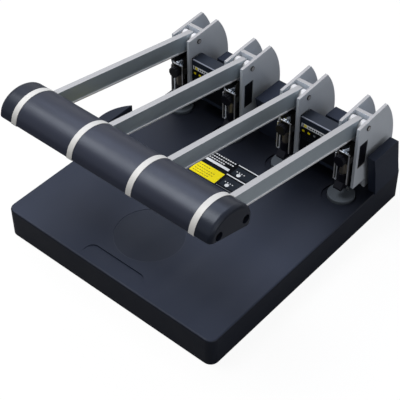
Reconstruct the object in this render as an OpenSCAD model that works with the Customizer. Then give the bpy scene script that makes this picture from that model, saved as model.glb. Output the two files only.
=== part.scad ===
// Heavy duty four hole punch: a wide deck, four lever heads at a fixed pitch and one
// long handle across all four levers. Millimetres, +Z up, the handle is towards -Y.
// The origin is on the desk, below the middle of the base.

/* [Base] */
// Distance from the outer punch axes to the base's sides
side_w = 29.5; // [27:0.5:36]
// Depth of the base
base_d = 331; // [325:1:350]
// Height of the deck above the desk
deck_h = 38; // [34:0.5:44]
// Height of the rubber feet below the cover
foot_h = 1; // [1:0.5:5]
// Diameter of each rubber foot
foot_d = 24; // [16:1:30]
// Distance of the feet from the base's edges
foot_inset = 26; // [20:1:40]
// Radius of the base's upright front corners
corner_r = 10; // [6:1:14]
// Radius of the base's upright rear corners
rear_r = 1; // [0.5:0.25:4]
// Radius of the rounded edge round the deck
edge_r = 2.4; // [1:0.2:4]
// Wall of the base cover
cover_t = 3; // [2:0.25:4]
// Thickness of the steel bottom plate
bottom_t = 2; // [1.5:0.25:3]
// Thickness of the chassis bar below the heads
chassis_t = 6; // [4:0.5:8]
// Length of the finger scoop at the front edge
scoop_l = 80; // [50:1:120]
// Distance from the front edge to the back of the scoop
scoop_back = 24; // [18:1:40]
// Depth of the finger scoop
scoop_depth = 1.25; // [1:0.25:2.5]
// Radius of the scoop's rear corners
scoop_r = 9; // [4:0.5:10]
// Distance from the scoop's back to where its floor meets the deck
scoop_fade = 17; // [14:0.5:17]
// Radius of the round pad mark moulded in the deck
mark_r = 40; // [25:1:50]
// Distance from the front edge to the centre of the round mark
mark_y = 72; // [60:1:90]
// Depth of the round mark
mark_depth = 0.5; // [0.3:0.1:1]

/* [Deck panel] */
// Width of the bare panel on the deck
panel_w = 70; // [40:1:75]
// Depth of the bare panel on the deck
panel_d = 43; // [25:1:44]
// Distance from the panel's back edge to the punch axes
panel_gap = 37.3; // [30:0.1:45]
// How far the panel lies to the left of the middle
panel_shift = 2; // [0:0.5:3]
// Thickness of the panel
panel_t = 0.6; // [0.4:0.1:1]

/* [Heads] */
// Distance from one hole to the next
pitch = 80; // [78:0.5:82]
// Distance from the punch axes back to the base's rear edge
behind = 72.2; // [70:0.1:76]
// Distance from the punch axis back to the lever pin
arm = 19; // [18:0.25:20]
// Height of the lever pin above the deck
pin_z = 92; // [90:0.5:94]
// Outer width of a head frame
head_w = 26.8; // [26:0.2:29]
// Thickness of the frame's side plates
plate_t = 3.6; // [3:0.1:4]
// Distance from the punch axis back to the plates' front corner
front_in = 2; // [0:0.1:3]
// How far the plates' front edge leans forward at its foot
front_lean = 0; // [0:0.2:3]
// Height of the plates' front corner above the deck
front_z = 99.6; // [98:0.2:102]
// Height of the plates' rear peak above the deck
peak_z = 102.6; // [100:0.2:108]
// Distance from the punch axis back to the peak
peak_y = 54.4; // [50:0.2:58]
// Radius of the plates' round rear edge
back_r = 92; // [85:1:100]
// Height of that edge's centre above the deck
back_z = 46; // [42:0.5:50]
// Distance from the punch axis back to the rearmost point of the plates
back_y = 73.6; // [70:0.2:74]
// Gap between the deck and the bottom of the heads, where the paper goes
throat_h = 14; // [13:0.25:16]
// Distance from the punch axis back to where the plates reach the deck
throat_back = 25.4; // [24:0.2:28]
// Distance from the plates' front edge back to the window
window_in = 4.5; // [4:0.25:8]
// Depth of the window in the plates
window_d = 15.5; // [10:0.25:15.5]
// Height of the window in the plates
window_h = 33.6; // [28:0.2:36]
// Height of the window's lower edge above the deck
window_z = 40.5; // [39:0.5:43]
// Thickness of the cross web between the plates
web_t = 5; // [4:0.25:6]
// Distance from the lever pin back to the cross web
web_back = 7.6; // [7.4:0.1:9]

/* [Pins and screws] */
// Diameter of the lever pins
pin_d = 5; // [4:0.25:6]
// How far the lever pins stand out of the frames
pin_out = 1.4; // [1:0.1:1.8]
// Diameter of the spacers on the lever pins
spacer_d = 13; // [10:0.5:14]
// Diameter of the screws that hold the heads down
screw_d = 5; // [4:0.5:5.5]
// Distance from the base's rear edge to the rear screws
screw_in = 12; // [11:0.5:14]
// Distance between the two screws of a head
screw_gap = 12; // [10:0.5:14]

/* [Levers] */
// Width of a lever
lever_w = 7; // [6.8:0.1:8]
// Wall of the lever channel
lever_wall = 1.6; // [1.2:0.1:1.8]
// Width of the lip along the bottom of a lever
lip_w = 8.6; // [8.2:0.1:10]
// Height of the lip along the bottom of a lever
lip_h = 1.6; // [1:0.2:4]
// Height of the lever above its pin, over the pin
lever_over = 7.8; // [7:0.2:9]
// Depth of the lever below its pin, under the pin
lever_under = 15.2; // [14:0.2:17]
// Slope of the lever's top line, in degrees
top_slope = 10.7; // [10:0.1:11.2]
// Slope of the lever's bottom line, in degrees
bottom_slope = 11.2; // [10.8:0.1:11.6]
// Travel of the handle, in degrees
lever_travel = 27; // [20:0.5:27]

/* [Handle] */
// Length of the handle's end caps
end_l = 19.6; // [17:0.2:30]
// Width of the handle's cross section
grip_w = 64; // [58:1:68]
// Height of the handle's cross section
grip_h = 32; // [29:0.5:35]
// Height of the upright sides of the cross section
grip_side = 6.5; // [5:0.5:9]
// Tilt of the handle's flat underside, in degrees
grip_tilt = 16; // [12:0.5:20]
// Distance from the lever pin forward to the middle of the handle
reach = 243.5; // [230:0.5:250]
// Height of the handle's underside above the lever pin
rise = 33; // [30:0.5:36]
// Width of the light bands at the levers
band_w = 6.8; // [5.5:0.1:8]
// Height by which the bands stand proud of the grips
band_proud = 0.4; // [0.2:0.1:1]
// Wall of the hollow grips
grip_wall = 3; // [2:0.25:3.5]
// Depth of the screw seats in the end caps
cap_seat = 6; // [4:0.25:8]
// Round of the end caps' outer edge
cap_round = 5; // [3:0.5:7]
// Diameter of the tie rods in the handle
rod_d = 5; // [4:0.25:6]
// Place of the front tie rod ahead of the handle's middle
rod_front = 19; // [14:0.5:19.5]
// Place of the rear tie rod behind the handle's middle
rod_rear = 21; // [16:0.5:22]
// Height of the front tie rod above the handle's underside
rod_z = 6.25; // [6:0.25:9]
// Height of the rear tie rod above the handle's underside
rod_rear_z = 10.2; // [6:0.2:11]
// Diameter of the heads of the screws in the end caps
cap_head_d = 9.4; // [6:0.2:9.6]
// Round of the end caps' lower edge
cap_under = 0.6; // [0.4:0.1:0.8]

/* [Punches] */
// Outer diameter of the hollow blades
blade_d = 6; // [5:0.1:6.5]
// Wall of the hollow blades
blade_wall = 0.8; // [0.6:0.05:1]
// Diameter of the blade's barrel
barrel_d = 9; // [8:0.25:9.5]
// Height of the blade guide
guide_h = 20; // [18:0.5:21]
// Height of the carriage block above the blade guide
carriage_z = 18; // [17:0.5:19]
// Height of the carriage block
carriage_h = 9.5; // [9:0.25:10]
// Depth to which the blade's barrel goes into the carriage block
barrel_in = 5; // [4:0.25:6]
// Thickness of the lock nuts under the bolts' heads
nut_t = 2.5; // [2:0.25:3]
// Gap between the lock nuts and the bolts' heads
bolt_rise = 3; // [2:0.25:4]
// Thickness of the bolts' heads
bolt_t = 4; // [3:0.2:5]
// Height of the tab on the carriage's front plate above its block
bracket_h = 5; // [3:0.25:6]
// Thickness of the wall that closes the window on a head's side without a chip box
shield_t = 1.2; // [1:0.1:1.4]
// How far the filling of that window lies below the plate's face
window_recess = 0.8; // [0.6:0.1:1.5]
// How far that wall laps over the window's edges
shield_lap = 1.5; // [1:0.1:2]
// Length of the carriage's side strips below the block
strip_l = 29; // [22:0.5:30]
// Width of the carriage's side strips
strip_w = 3.25; // [3:0.25:6]
// Diameter of the release knobs
knob_d = 13.5; // [11:0.5:15]
// Length of the release knobs
knob_l = 6; // [5:0.5:9]
// Diameter of the bolts that the cams press on
bolt_d = 5; // [4:0.25:6]
// Width of those bolts' six-sided heads, from corner to corner
nut_d = 9; // [8:0.1:10]
// Width of the way out for the chips
chip_w = 4; // [3:0.25:4.25]
// Outer diameter of the return springs
spring_d = 7.4; // [6:0.2:8]
// Wire of the return springs
spring_wire = 1.2; // [0.8:0.1:1.4]
// Number of curls in a return spring
spring_turns = 5; // [4:1:6]
// Distance from the blade to the return spring's axis, across the head
spring_x = 4.4; // [4:0.1:4.6]
// Diameter of the cutting discs
disc_d = 31.4; // [26:0.2:34]
// Height by which the cutting discs stand above the deck
disc_proud = 2; // [1:0.1:3]
// How far the finger recess round each disc is set towards the front
finger_shift = 5; // [3:0.5:7]
// Depth of the finger recesses
finger_depth = 2; // [1:0.25:2.25]
// Distance from the punch axis back to the paper stops
stop_back = 7; // [6.5:0.1:8]

/* [Rear housing] */
// Height of the rear housing above the deck
hump_h = 56.5; // [50:0.5:60]
// Distance from the base's rear edge to the foot of the housing's front
hump_foot = 47.5; // [44:0.5:49]
// Distance from the base's rear edge to the top front edge of the housing
hump_front = 58; // [52:0.5:59]
// Distance from the base's rear edge to the top rear edge of the housing
hump_rear = 13; // [10:0.5:18]
// Width of the slot in the housing round each head
slot_w = 46; // [40:0.5:50]
// Width of the ears at the housing's ends
ear_w = 10.3; // [8:0.1:11]
// How far the housing's back leans in at a third of its height
back_lean = 5.4; // [3:0.2:7]
// Height of the caps on the blocks beside the chip boxes
cap_h = 7; // [4:0.5:9]

/* [Chip boxes] */
// Height of a chip box's lid above the deck
chip_top = 75; // [70:0.5:78]
// Depth of a chip box's lid
chip_lid_d = 17; // [15:0.25:18]
// Depth of a chip box's body
chip_d = 8.75; // [8:0.25:9.5]
// Height of a chip box's bottom above the deck
chip_bottom = 22; // [18:0.5:30]
// Wall of a chip box
chip_wall = 1.6; // [1.2:0.1:2]

/* [Side guide] */
// Length of the side guide's flat face
fence_l = 74; // [50:1:80]
// Width of the side guide across its round back
fence_w = 15; // [12:0.5:20]
// Height of the side guide above the deck
fence_h = 18; // [12:0.5:25]
// Place of the side guide behind the middle of the base
fence_y = 3; // [-10:1:20]
// Length of the bar that carries the side guide
bar_l = 120; // [100:1:130]
// Width of the guide bar
bar_w = 16; // [12:0.5:20]
// Thickness of the guide bar
bar_t = 4; // [3:0.25:5]
// How far the side guide pulls out
bar_travel = 60; // [40:1:70]

/* [Hidden] */
// Running clearance round pins and blades
run = 0.05;
// Play of sliding and loose pieces
play = 0.3;
// Small step that makes a cut run past a face
past = 1;
$fn = 48;

heads = [-1.5 * pitch, -0.5 * pitch, 0.5 * pitch, 1.5 * pitch];
base_w = 3 * pitch + 2 * side_w;
punch_y = base_d / 2 - behind;
handle_end = heads[3] + band_w / 2 + end_l;
pivot_y = punch_y + arm;
pivot_z = deck_h + pin_z;
inner_w = head_w - 2 * plate_t;
front_y = punch_y + front_in;
throat_z = deck_h + throat_h;
rear_y = base_d / 2;
cover_z = foot_h;
deck_under = deck_h - cover_t - 0.5;
disc_top = deck_h + disc_proud;
stroke = arm * lever_travel * PI / 180;
tip_z = disc_top + stroke + run;
guide_top = throat_z + guide_h;
block_z = guide_top + carriage_z;
block_top = block_z + carriage_h;
knob_z = block_z + carriage_h / 2;
barrel_top = block_z + barrel_in;
nut_top = block_top + nut_t;
bolt_top = nut_top + bolt_rise + bolt_t;
web_y = pivot_y + web_back;
grip_y = pivot_y - reach;
grip_z = pivot_z + rise;
step_h = 12;

// A side view outline, drawn as [y, z] points, extruded along X about x
module side_plate(x, w, points) {
    translate([x - w / 2, 0, 0])
        rotate([90, 0, 90])
            linear_extrude(w)
                polygon(points);
}

// A box between two corners
module span(from, to) {
    translate(from)
        cube(to - from);
}

// A round bar along X between two places
module bar_x(x0, x1, y, z, d) {
    translate([x0, y, z])
        rotate([0, 90, 0])
            cylinder(h = x1 - x0, d = d);
}

// A round bar along Z between two heights
module bar_z(x, y, z0, z1, d) {
    translate([x, y, z0])
        cylinder(h = z1 - z0, d = d);
}

// The base's plan, drawn in by a margin: wide round corners in front, tight ones behind
function corner_arc(sx, sy, r, inset, from) =
    let (q = max(r - inset, 0.4))
        [for (a = [from:15:from + 90])
            [sx * (base_w / 2 - inset - q) + q * cos(a), sy * (base_d / 2 - inset - q) + q * sin(a)]];
function plan_points(inset) = concat(
    corner_arc(1, 1, rear_r, inset, 0),
    corner_arc(-1, 1, rear_r, inset, 90),
    corner_arc(-1, -1, corner_r, inset, 180),
    corner_arc(1, -1, corner_r, inset, 270)
);
module base_plan(inset) {
    polygon(plan_points(inset));
}

// The cover's outer form, a hull of corner posts with the deck's rounded edge on top
module corner_post(sx, sy, r) {
    translate([sx * (base_w / 2 - r), sy * (base_d / 2 - r), 0])
        rotate_extrude($fn = 24)
            polygon(concat(
                [[0, cover_z], [r, cover_z]],
                [for (a = [0:15:90])
                    [r - edge_r + edge_r * cos(a), deck_h - edge_r + edge_r * sin(a)]],
                [[0, deck_h]]
            ));
}
module cover_form() {
    hull()
        for (x = [-1, 1]) {
            corner_post(x, -1, corner_r);
            corner_post(x, 1, rear_r + edge_r);
        }
}

// The finger scoop, a shallow tray with round ends that fades to the front
module finger_scoop() {
    y = -base_d / 2 + scoop_back;
    slope = atan(scoop_depth / scoop_fade);
    translate([0, y, deck_h])
        rotate([-slope, 0, 0])
            translate([0, 0, -scoop_depth])
                linear_extrude(2 * scoop_depth) {
                    translate([-scoop_l / 2 + scoop_r, -scoop_back])
                        square([scoop_l - 2 * scoop_r, scoop_back]);
                    translate([-scoop_l / 2, -scoop_back])
                        square([scoop_l, scoop_back - scoop_r]);
                    for (x = [-1, 1])
                        translate([x * (scoop_l / 2 - scoop_r), -scoop_r])
                            circle(r = scoop_r);
                }
}

// Below the rear housing the deck's edge stays square, so that the housing sits flush
module square_edge() {
    intersection() {
        span([-base_w, rear_y - hump_foot, cover_z], [base_w, rear_y + past, deck_h]);
        linear_extrude(deck_h)
            base_plan(0);
    }
}

module base_cover() {
    color([0.17, 0.18, 0.22])
        difference() {
            union() {
                cover_form();
                square_edge();
            }
            translate([0, 0, cover_z - past])
                linear_extrude(deck_under - cover_z + past)
                    base_plan(cover_t);
            finger_scoop();
            translate([0, -base_d / 2 + mark_y, deck_h - mark_depth])
                cylinder(r = mark_r, h = past, $fn = 96);
            for (x = heads) {
                bar_z(x, punch_y, deck_under - past, deck_h + past, disc_d + 2 * play);
                for (y = screw_places)
                    bar_z(x, y, deck_under - past, deck_h + past, screw_d + 2 * play);
                translate([x, punch_y - finger_shift, deck_h - finger_depth])
                    cylinder(d = disc_d + 2 * rim, h = finger_depth + past);
            }
            bar_slot();
        }
}

// The slot in the base's left wall through which the guide bar runs
bar_z0 = foot_h + bottom_t + 3 * bar_t;
module bar_slot() {
    span([-base_w / 2 - past, fence_y - bar_w / 2 - play, bar_z0 - play],
         [-base_w / 2 + cover_t + past, fence_y + bar_w / 2 + play, bar_z0 + bar_t + play]);
}

module bottom_plate() {
    color([0.45, 0.46, 0.48])
        translate([0, 0, cover_z])
            linear_extrude(bottom_t)
                base_plan(cover_t + play);
}

module rubber_feet() {
    color([0.06, 0.06, 0.06])
        for (x = [-1, 1], y = [-1, 1])
            bar_z(x * (base_w / 2 - foot_inset), y * (base_d / 2 - foot_inset), 0, foot_h, foot_d);
}

// The steel bar that carries the heads and the cutting discs, with a leg below each head.
// A guide for the side guide's bar hangs below the deck in front of it.
screw_places = [rear_y - screw_in - screw_gap, rear_y - screw_in];
rim = 4;
leg_d = 16;
chassis_front = punch_y - disc_d / 2 - rim;
chassis_rear = rear_y - cover_t - rim;
module chassis_bar() {
    x_end = heads[3] + disc_d / 2 + rim;
    color([0.5, 0.5, 0.52])
        difference() {
            union() {
                span([-x_end, chassis_front, deck_under - chassis_t],
                     [x_end, chassis_rear, deck_under]);
                for (x = heads)
                    bar_z(x, pivot_y, foot_h + bottom_t, deck_under, leg_d);
                bar_guide();
            }
            for (x = heads, y = screw_places)
                bar_z(x, y, deck_under - chassis_t - past, deck_under + past, screw_d + 2 * run);
            span([-base_w, fence_y - bar_w / 2 - play, bar_z0 - play],
                 [0, fence_y + bar_w / 2 + play, bar_z0 + bar_t + play]);
        }
}

// The part of the chassis that holds the guide bar
module bar_guide() {
    x = -base_w / 2 + cover_t + bar_l / 3;
    span([x, fence_y - bar_w / 2 - cover_t, bar_z0 - cover_t],
         [x + 1.5 * leg_d, chassis_front + past, deck_under]);
}

module deck_panel() {
    back = punch_y - panel_gap;
    color([0.08, 0.08, 0.09])
        span([-panel_w / 2 - panel_shift, back - panel_d, deck_h],
             [panel_w / 2 - panel_shift, back, deck_h + panel_t]);
}

// The housing's side view: a front that leans forward, a flat top and a leaning back
hump_r = 4;
hump_top = deck_h + hump_h;
function hump_points(inset) = [
    [rear_y - hump_foot + inset, deck_h],
    [rear_y - (hump_foot + hump_front) / 2 + inset, deck_h + 0.6 * hump_h],
    [rear_y - hump_front + inset, hump_top - inset],
    for (a = [90:-15:0])
        [rear_y - hump_rear - inset + hump_r * (cos(a) - 0.5),
         hump_top - hump_r - inset + hump_r * sin(a)],
    [rear_y - back_lean - inset, deck_h + 0.38 * hump_h],
    [rear_y - back_lean / 2 - inset, deck_h + 0.16 * hump_h],
    [rear_y - inset, deck_h],
];

// The housing's blocks, as [left edge, right edge, whether it carries a cap]
ear_in = base_w / 2 - ear_w;
blocks = [
    [-base_w / 2, -ear_in, false],
    [heads[0] + slot_w / 2, heads[1] - slot_w / 2, true],
    [heads[1] + slot_w / 2, heads[2] - slot_w / 2, false],
    [heads[2] + slot_w / 2, heads[3] - slot_w / 2, true],
    [ear_in, base_w / 2, false],
];
module housing_block(b) {
    w = b[1] - b[0];
    mid = (b[0] + b[1]) / 2;
    difference() {
        side_plate(mid, w, hump_points(0));
        if (w > 4 * cover_t)
            difference() {
                side_plate(mid, w - 2 * cover_t, hump_points(cover_t));
                span([b[0], rear_y - cover_t - hump_r, deck_h - past], [b[1], rear_y, deck_h + step_h]);
            }
    }
    if (b[2])
        span([b[0] + hump_r, rear_y - hump_foot + step_h, hump_top - past],
             [b[1] - hump_r, rear_y - hump_rear - hump_r, hump_top + cap_h]);
}

module rear_housing() {
    color([0.07, 0.075, 0.09])
        intersection() {
            union() {
                for (b = blocks)
                    housing_block(b);
                span([-ear_in - past, rear_y - cover_t, deck_h],
                     [ear_in + past, rear_y, deck_h + step_h - 2]);
            }
            linear_extrude(2 * hump_top)
                base_plan(0);
        }
}

// A chip box fills the space between two heads: a deep narrow body in front and a lid that
// reaches back over the housing. Openings in its ends face the windows of the heads, and
// the box passes the ends of the lever pins when it is lifted out.
module chip_box(x) {
    w = pitch - head_w - 2 * (pin_out + play);
    y1 = rear_y - hump_front - play;
    y0 = y1 - chip_d;
    y2 = y0 + chip_lid_d;
    z0 = deck_h + chip_bottom;
    z1 = hump_top + play;
    z2 = deck_h + chip_top;
    t = chip_wall;
    color([0.27, 0.28, 0.33])
        difference() {
            union() {
                span([x - w / 2, y0, z0], [x + w / 2, y1, z2]);
                span([x - w / 2, y0, z1], [x + w / 2, y2, z2]);
            }
            span([x - w / 2 + t, y0 + t, z0 + t], [x + w / 2 - t, y1 - t, z2 - t]);
            span([x - w / 2 + t, y0 + t, z1 + t], [x + w / 2 - t, y2 - t, z2 - t]);
            span([x - w, y0 + t, z1 + t], [x + w, y2 - t, z2 - 2 * t]);
        }
}
module chip_box_left() { chip_box((heads[0] + heads[1]) / 2); }
module chip_box_right() { chip_box((heads[2] + heads[3]) / 2); }

// The side guide is a D in plan: its flat face meets the paper's edge
bar_seat = 8;
module side_guide() {
    sag = fence_w;
    half = fence_l / 2;
    r = (half * half + sag * sag) / (2 * sag);
    face_x = -base_w / 2 - play;
    color([0.1, 0.11, 0.13])
        difference() {
            translate([face_x, fence_y, bar_z0 - bar_t])
                linear_extrude(deck_h + fence_h - bar_z0 + bar_t)
                    intersection() {
                        translate([r - sag, 0])
                            circle(r = r, $fn = 128);
                        translate([-sag, -half])
                            square([sag, fence_l]);
                    }
            span([face_x - bar_seat, fence_y - bar_w / 2 - run, bar_z0 - run],
                 [face_x + past, fence_y + bar_w / 2 + run, bar_z0 + bar_t + run]);
        }
}

module guide_bar() {
    face_x = -base_w / 2 - play;
    color([0.6, 0.6, 0.62])
        span([face_x - bar_seat + run, fence_y - bar_w / 2, bar_z0],
             [face_x - bar_seat + run + bar_l, fence_y + bar_w / 2, bar_z0 + bar_t]);
}

module cutting_disc(i) {
    color([0.22, 0.22, 0.24])
        translate([heads[i - 1], punch_y, deck_under])
            rotate_extrude()
                polygon([[0, 0], [disc_d / 2, 0], [disc_d / 2, disc_top - deck_under - 0.6],
                         [disc_d / 2 - 0.6, disc_top - deck_under], [0, disc_top - deck_under]]);
}

// The side view of a head frame's plates
sole_t = 3;
back_mid_y = punch_y + back_y - back_r;
back_mid_z = deck_h + back_z;
peak_a = asin((peak_z + deck_h - back_mid_z) / back_r);
function plate_points() = concat(
    [
        [front_y - front_lean, throat_z],
        [front_y, deck_h + front_z],
        [punch_y + peak_y, deck_h + peak_z],
    ],
    [for (a = [peak_a - 2:-3:0]) [back_mid_y + back_r * cos(a), back_mid_z + back_r * sin(a)]],
    [
        [back_mid_y + back_r, deck_h + 2 / 3 * back_z],
        [rear_y - 0.75 * screw_in, deck_h],
        [punch_y + throat_back, deck_h],
        [punch_y + throat_back, throat_z],
    ]
);

// The web ends just below the plates' top edges
web_slope = (peak_z - front_z) / (peak_y - front_in);
web_top = deck_h + front_z + web_slope * (web_y - front_y) - play;
module head_frame(i) {
    x = heads[i - 1];
    color([0.55, 0.58, 0.6])
        difference() {
            union() {
                for (s = [-1, 1])
                    side_plate(x + s * (head_w - plate_t) / 2, plate_t, plate_points());
                span([x - inner_w / 2 - play, web_y, deck_h],
                     [x + inner_w / 2 + play, web_y + web_t, web_top]);
                span([x - inner_w / 2 - play, web_y, deck_h],
                     [x + inner_w / 2 + play, rear_y - screw_in / 2, deck_h + sole_t]);
            }
            span([x - head_w, window_y, window_low],
                 [x + head_w, window_y + window_d, window_low + window_h]);
            bar_x(x - head_w, x + head_w, pivot_y, pivot_z, pin_d + 2 * run);
            for (y = screw_places)
                bar_z(x, y, deck_h - past, deck_h + sole_t + past, screw_d + 2 * run);
        }
}

module frame_screws() {
    color([0.35, 0.35, 0.37])
        for (x = heads, y = screw_places) {
            bar_z(x, y, deck_under - chassis_t + 1, deck_h + sole_t, screw_d);
            difference() {
                bar_z(x, y, deck_h + sole_t, deck_h + sole_t + screw_d, 1.7 * screw_d);
                translate([x, y, deck_h + sole_t + screw_d / 2])
                    cylinder(d = 0.95 * screw_d, h = screw_d, $fn = 6);
            }
        }
}

module pivot_pins() {
    color([0.75, 0.76, 0.78])
        for (x = heads) {
            bar_x(x - head_w / 2 - pin_out, x + head_w / 2 + pin_out / 2, pivot_y, pivot_z, pin_d);
            bar_x(x + head_w / 2, x + head_w / 2 + pin_out, pivot_y, pivot_z, 1.25 * pin_d);
        }
}

module pin_clips() {
    color([0.3, 0.3, 0.32])
        for (x = heads)
            difference() {
                bar_x(x - head_w / 2 - pin_out / 2, x - head_w / 2, pivot_y, pivot_z, 1.7 * pin_d);
                bar_x(x - head_w / 2 - past - 1, x - head_w / 2 + past, pivot_y, pivot_z,
                      pin_d + 2 * run);
            }
}

// A spacer each side of the lever, between the lever and the frame's plates
module pivot_spacers() {
    color([0.9, 0.91, 0.92])
        for (x = heads, s = [-1, 1])
            difference() {
                translate([x + s * (lever_w / 2 + inner_w / 2) / 2, pivot_y, pivot_z])
                    rotate([0, 90, 0])
                        cylinder(h = (inner_w - lever_w) / 2 - 2 * run, d = spacer_d, center = true);
                bar_x(x - head_w, x + head_w, pivot_y, pivot_z, pin_d + 2 * run);
            }
}

// The black guide between the plates that the blade runs in, with a nose towards the front.
// Its wall closes the window on the side where no chip box is, and fills it nearly flush.
nose_d = barrel_d + 3.4;
guide_back = web_y - 4;
window_y = front_y + window_in;
window_low = deck_h + window_z;
module window_shield(x, side) {
    wall_x = x + side * (inner_w - shield_t - 2 * run) / 2;
    fill_x = x + side * (head_w / 2 - window_recess - plate_t / 2);
    span([wall_x - shield_t / 2, window_y - shield_lap, guide_top - past],
         [wall_x + shield_t / 2, guide_back, window_low + window_h + shield_lap]);
    span([fill_x - plate_t / 2, window_y + play, window_low + play],
         [fill_x + plate_t / 2, window_y + window_d - play, window_low + window_h - play]);
}
module blade_guides() {
    color([0.06, 0.06, 0.065])
        for (i = [0:3]) {
            x = heads[i];
            difference() {
                union() {
                    window_shield(x, i % 2 == 0 ? -1 : 1);
                    span([x - inner_w / 2 + run, front_y + 1, throat_z],
                         [x + inner_w / 2 - run, guide_back, guide_top]);
                    bar_z(x, punch_y, throat_z, guide_top, nose_d);
                    span([x - nose_d / 2, punch_y, throat_z],
                         [x + nose_d / 2, front_y + 2, guide_top]);
                    side_plate(x, nose_d - 2, [
                        [punch_y, throat_z],
                        [punch_y - nose_d / 2 - 4, throat_z],
                        [punch_y - nose_d / 2 - 4, throat_z + 2],
                        [punch_y - nose_d / 2, throat_z + 9],
                        [punch_y, throat_z + 9],
                    ]);
                }
                bar_z(x, punch_y, throat_z - past, guide_top + past, blade_d + 2 * run);
                bar_z(x, punch_y, guide_top - stroke - 2 * play, guide_top + past, barrel_d + 2 * run);
                span([x + stop_x - run, punch_y + stop_back - run, throat_z - past],
                     [x + stop_x + stop_w + run, punch_y + stop_back + stop_t + run, guide_top + past]);
            }
        }
}

// The stops that the paper's edge is pushed against, behind each blade
stop_x = 1.5;
stop_w = 3;
stop_t = 1.6;
module paper_stops() {
    color([0.7, 0.71, 0.72])
        for (x = heads)
            span([x + stop_x, punch_y + stop_back, disc_top + play],
                 [x + stop_x + stop_w, punch_y + stop_back + stop_t, guide_top - 4]);
}

// The handle's cross section: a flat underside and a round top, about its own middle
grip_r = 2;
function grip_points(inset) = grip_outline(inset, inset);
function grip_outline(inset, under) = concat(
    [for (s = [0:5:180])
        [(grip_w / 2 - inset) * cos(s), grip_side + (grip_h - grip_side - inset) * sin(s)]],
    [for (s = [180:30:270])
        [-grip_w / 2 + inset + grip_r + grip_r * cos(s), under + grip_r + grip_r * sin(s)]],
    [for (s = [270:30:360])
        [grip_w / 2 - inset - grip_r + grip_r * cos(s), under + grip_r + grip_r * sin(s)]]
);

// Puts a piece drawn about the handle's own middle in its place
module on_handle() {
    translate([0, grip_y, grip_z])
        rotate([-grip_tilt, 0, 0])
            children();
}

rods = [[-rod_front, rod_z], [rod_rear, rod_rear_z]];
rod_end = handle_end - cap_seat - 6;
screw_seat = handle_end - cap_seat;
cap_screw_d = 3;

module rod_holes(x0, x1, d) {
    for (p = rods)
        bar_x(x0, x1, p[0], p[1], d);
}

// The side view of a lever: straight top and bottom lines and a round end at the pin
lever_front = grip_y + grip_w / 2 - 3;
function top_z(y) = pivot_z + lever_over + (pivot_y - y) * tan(top_slope);
function bottom_z(y) = pivot_z - lever_under + (pivot_y - y) * tan(bottom_slope);
hollow_front = grip_y + grip_w / 2 + 10;
lever_end_r = web_back - 1.2;
lever_heel = 1.5;
tongue_w = lever_w - 2 * lever_wall - 1.3;
tongue_z = 3.4;
tongue_h = 11.6;
function lever_points(front, inset) = concat(
    [
        [front, bottom_z(front) - past * inset],
        [front, top_z(front) - inset],
    ],
    [for (a = [90:-15:-30])
        [pivot_y + (lever_end_r - inset) * cos(a), pivot_z + (lever_over - inset) * sin(a)]],
    [
        [pivot_y - lever_heel - lever_heel * inset, bottom_z(pivot_y) - past * inset],
    ]
);

module lever(i) {
    x = heads[i - 1];
    color([0.58, 0.6, 0.62])
        difference() {
            union() {
                difference() {
                    union() {
                        side_plate(x, lever_w, lever_points(lever_front, 0));
                        side_plate(x, lip_w, [
                            [lever_front, bottom_z(lever_front)],
                            [lever_front, bottom_z(lever_front) + lip_h],
                            [front_y - 8, bottom_z(front_y - 8) + lip_h],
                            [front_y - 8, bottom_z(front_y - 8)],
                        ]);
                    }
                    side_plate(x, lever_w - 2 * lever_wall, lever_points(hollow_front, lever_wall));
                    on_handle()
                        side_plate(x, 4 * lip_w, grip_points(-run));
                }
                on_handle()
                    side_plate(x, tongue_w, tongue_points(0));
            }
            bar_x(x - head_w, x + head_w, pivot_y, pivot_z, pin_d + 2 * run);
            on_handle()
                rod_holes(x - head_w, x + head_w, rod_d + 2 * run);
        }
}

// The flat tongue at the lever's front end, which goes into the slot of a band
function tongue_points(gap) = [
    [-rod_front - rod_d - gap, tongue_z - gap],
    [grip_w / 2 + 3, tongue_z - gap],
    [grip_w / 2 + 3, tongue_z + tongue_h + gap],
    [-rod_front - rod_d - gap, tongue_z + tongue_h + gap],
];

// A cam below each lever, round about a point level with the pin, that presses the bolt down
cam_r = pivot_z - bolt_top - run;
cam_back = 7;
cam_in = 8;
module pusher_cams() {
    color([0.2, 0.2, 0.22])
        for (x = heads)
            intersection() {
                translate([x, punch_y, pivot_z])
                    rotate([0, 90, 0])
                        cylinder(r = cam_r, h = lever_w - 2 * lever_wall - 2 * run, center = true,
                                 $fn = 96);
                span([x - lever_w, punch_y - cam_r * sin(lever_travel) - lever_heel, bolt_top - past],
                     [x + lever_w, punch_y + cam_back, bottom_z(punch_y) + cam_in]);
            }
}

module band(i) {
    x = heads[i - 1];
    color([0.86, 0.86, 0.85])
        on_handle()
            difference() {
                side_plate(x, band_w, grip_points(0));
                side_plate(x, tongue_w + 2 * run, tongue_points(run));
                rod_holes(x - band_w, x + band_w, rod_d + 2 * run);
            }
}

module grip(x0, x1) {
    color([0.22, 0.22, 0.27])
        on_handle()
            difference() {
                side_plate((x0 + x1) / 2, x1 - x0, grip_points(band_proud));
                side_plate((x0 + x1) / 2, x1 - x0 + 2 * past, grip_points(band_proud + grip_wall));
            }
}
module grip_left() { grip(heads[0] + band_w / 2, heads[1] - band_w / 2); }
module grip_middle() { grip(heads[1] + band_w / 2, heads[2] - band_w / 2); }
module grip_right() { grip(heads[2] + band_w / 2, heads[3] - band_w / 2); }

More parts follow.
